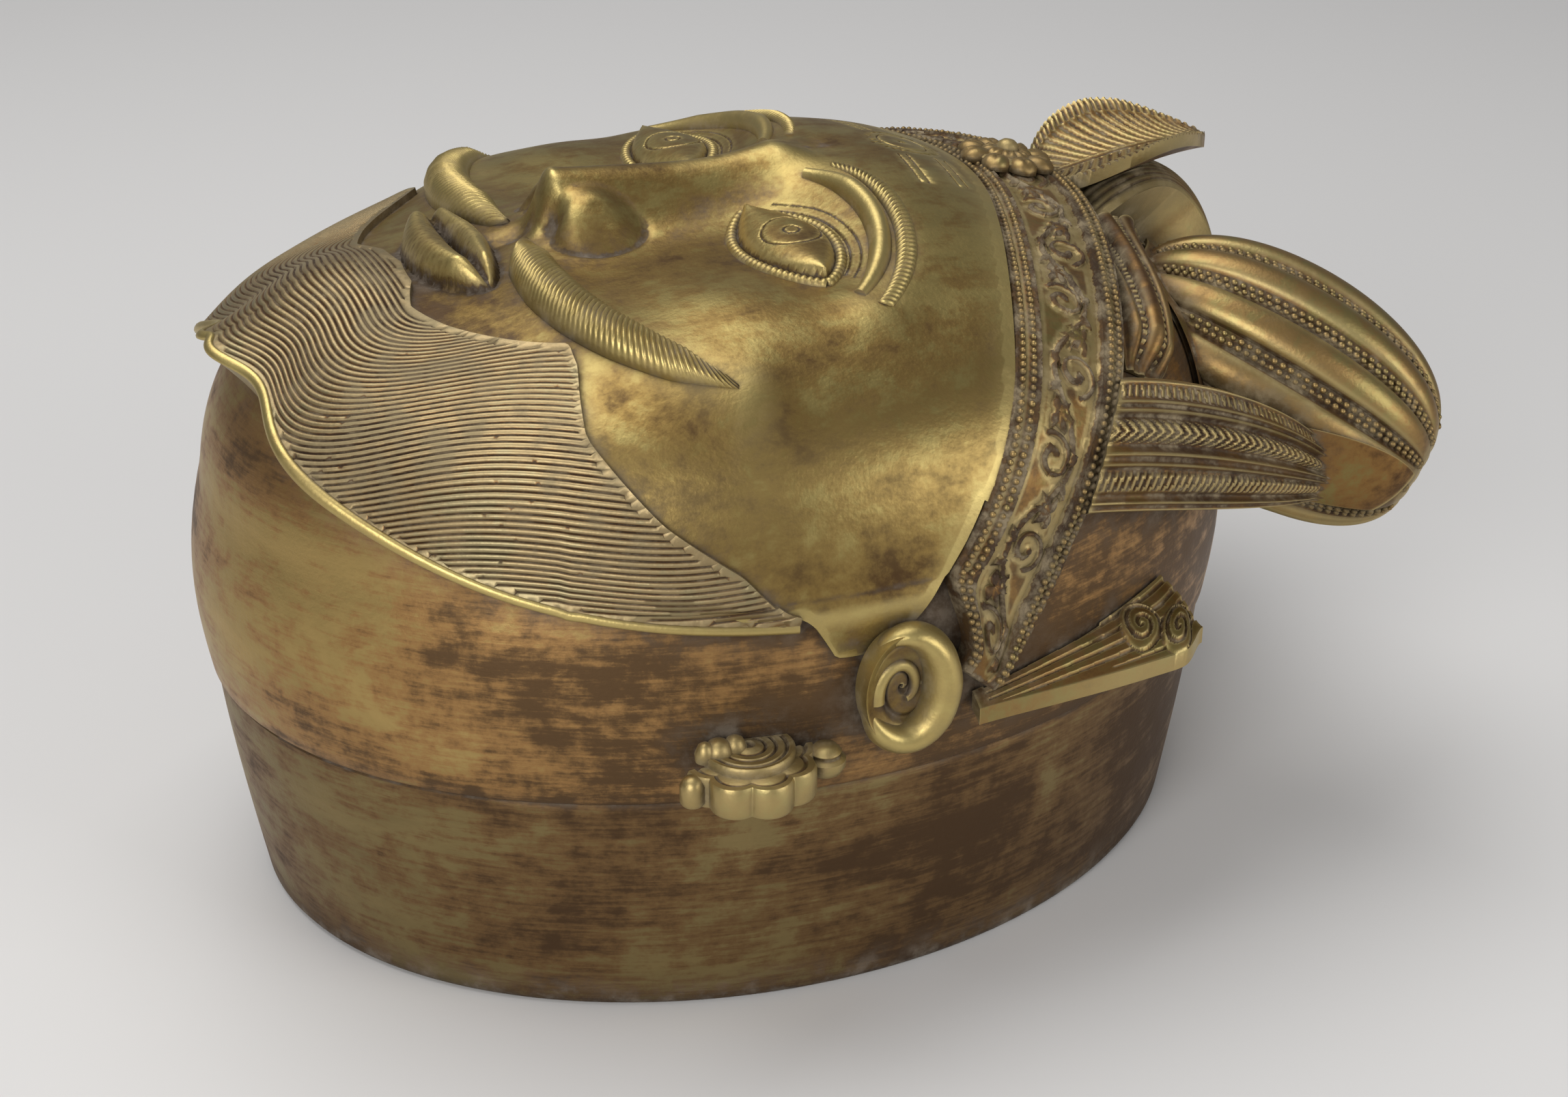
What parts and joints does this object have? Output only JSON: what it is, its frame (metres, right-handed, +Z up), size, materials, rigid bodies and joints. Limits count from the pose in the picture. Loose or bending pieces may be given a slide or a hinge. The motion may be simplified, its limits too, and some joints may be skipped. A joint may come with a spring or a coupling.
{
  "type": "paan box",
  "caption": "Oval cast brass betel box with a lift-off lid in the form of a reclining bearded head, and a lift-out tray of lidded cups inside.",
  "frame": {"origin": "centre of the oval foot, on the surface that the box stands on", "axes": "+X from the chin to the crown of the head, +Y to the head's left, +Z up out of the face"},
  "size_m": [0.2321, 0.1854, 0.1367],
  "materials": {
    "base_brass": "brushed old brass with brown streaks",
    "lid_brass": "worn cast brass with brown patina",
    "face_brass": "rubbed cast brass, brown in the recesses",
    "carved_brass": "engraved cast brass, dark in the grooves",
    "inner_brass": "plain sheet brass, lightly tarnished"
  },
  "bodies": {
    "base": {"base_bowl": "base_brass", "rim_collar": "inner_brass"},
    "lid": {"lid_dome": "lid_brass", "face_mask": "face_brass", "nose": "face_brass", "lips": "face_brass", "brow_left": "face_brass", "brow_right": "face_brass", "eye_left": "face_brass", "eye_right": "face_brass", "moustache_left": "face_brass", "moustache_right": "face_brass", "beard": "face_brass", "headband": "carved_brass", "rosette": "carved_brass", "crest_leaf": "carved_brass", "hair_cap": "carved_brass", "hair_bun_left": "carved_brass", "hair_bun_right": "carved_brass", "back_lock_left": "carved_brass", "back_lock_right": "carved_brass", "side_curl_left": "carved_brass", "side_curl_right": "carved_brass", "ear_left": "face_brass", "ear_right": "face_brass", "earring_left": "carved_brass", "earring_right": "carved_brass", "ear_leaf_left": "carved_brass", "ear_leaf_right": "carved_brass"},
    "tray": {"cup_tray": "inner_brass"},
    "cup_1": {"cup_1": "inner_brass"},
    "cup_lid_1": {"cup_lid_1": "inner_brass"},
    "cup_2": {"cup_2": "inner_brass"},
    "cup_lid_2": {"cup_lid_2": "inner_brass"},
    "cup_3": {"cup_3": "inner_brass"},
    "cup_lid_3": {"cup_lid_3": "inner_brass"},
    "cup_4": {"cup_4": "inner_brass"},
    "cup_lid_4": {"cup_lid_4": "inner_brass"},
    "cup_5": {"cup_5": "inner_brass"},
    "cup_lid_5": {"cup_lid_5": "inner_brass"}
  },
  "joints": [
    {"name": "lid_lift", "type": "slide", "parent": "base", "child": "lid", "axis": [0, 0, 1], "range_m": [0, 0.12]},
    {"name": "tray_lift", "type": "slide", "parent": "base", "child": "tray", "axis": [0, 0, 1], "range_m": [0, 0.02]},
    {"name": "cup_1_lift", "type": "slide", "parent": "tray", "child": "cup_1", "axis": [0, 0, 1], "range_m": [0, 0.024]},
    {"name": "cup_lid_1_lift", "type": "slide", "parent": "cup_1", "child": "cup_lid_1", "axis": [0, 0, 1], "range_m": [0, 0.02]},
    {"name": "cup_2_lift", "type": "slide", "parent": "tray", "child": "cup_2", "axis": [0, 0, 1], "range_m": [0, 0.024]},
    {"name": "cup_lid_2_lift", "type": "slide", "parent": "cup_2", "child": "cup_lid_2", "axis": [0, 0, 1], "range_m": [0, 0.02]},
    {"name": "cup_3_lift", "type": "slide", "parent": "tray", "child": "cup_3", "axis": [0, 0, 1], "range_m": [0, 0.024]},
    {"name": "cup_lid_3_lift", "type": "slide", "parent": "cup_3", "child": "cup_lid_3", "axis": [0, 0, 1], "range_m": [0, 0.02]},
    {"name": "cup_4_lift", "type": "slide", "parent": "tray", "child": "cup_4", "axis": [0, 0, 1], "range_m": [0, 0.024]},
    {"name": "cup_lid_4_lift", "type": "slide", "parent": "cup_4", "child": "cup_lid_4", "axis": [0, 0, 1], "range_m": [0, 0.02]},
    {"name": "cup_5_lift", "type": "slide", "parent": "tray", "child": "cup_5", "axis": [0, 0, 1], "range_m": [0, 0.024]},
    {"name": "cup_lid_5_lift", "type": "slide", "parent": "cup_5", "child": "cup_lid_5", "axis": [0, 0, 1], "range_m": [0, 0.02]}
  ]
}
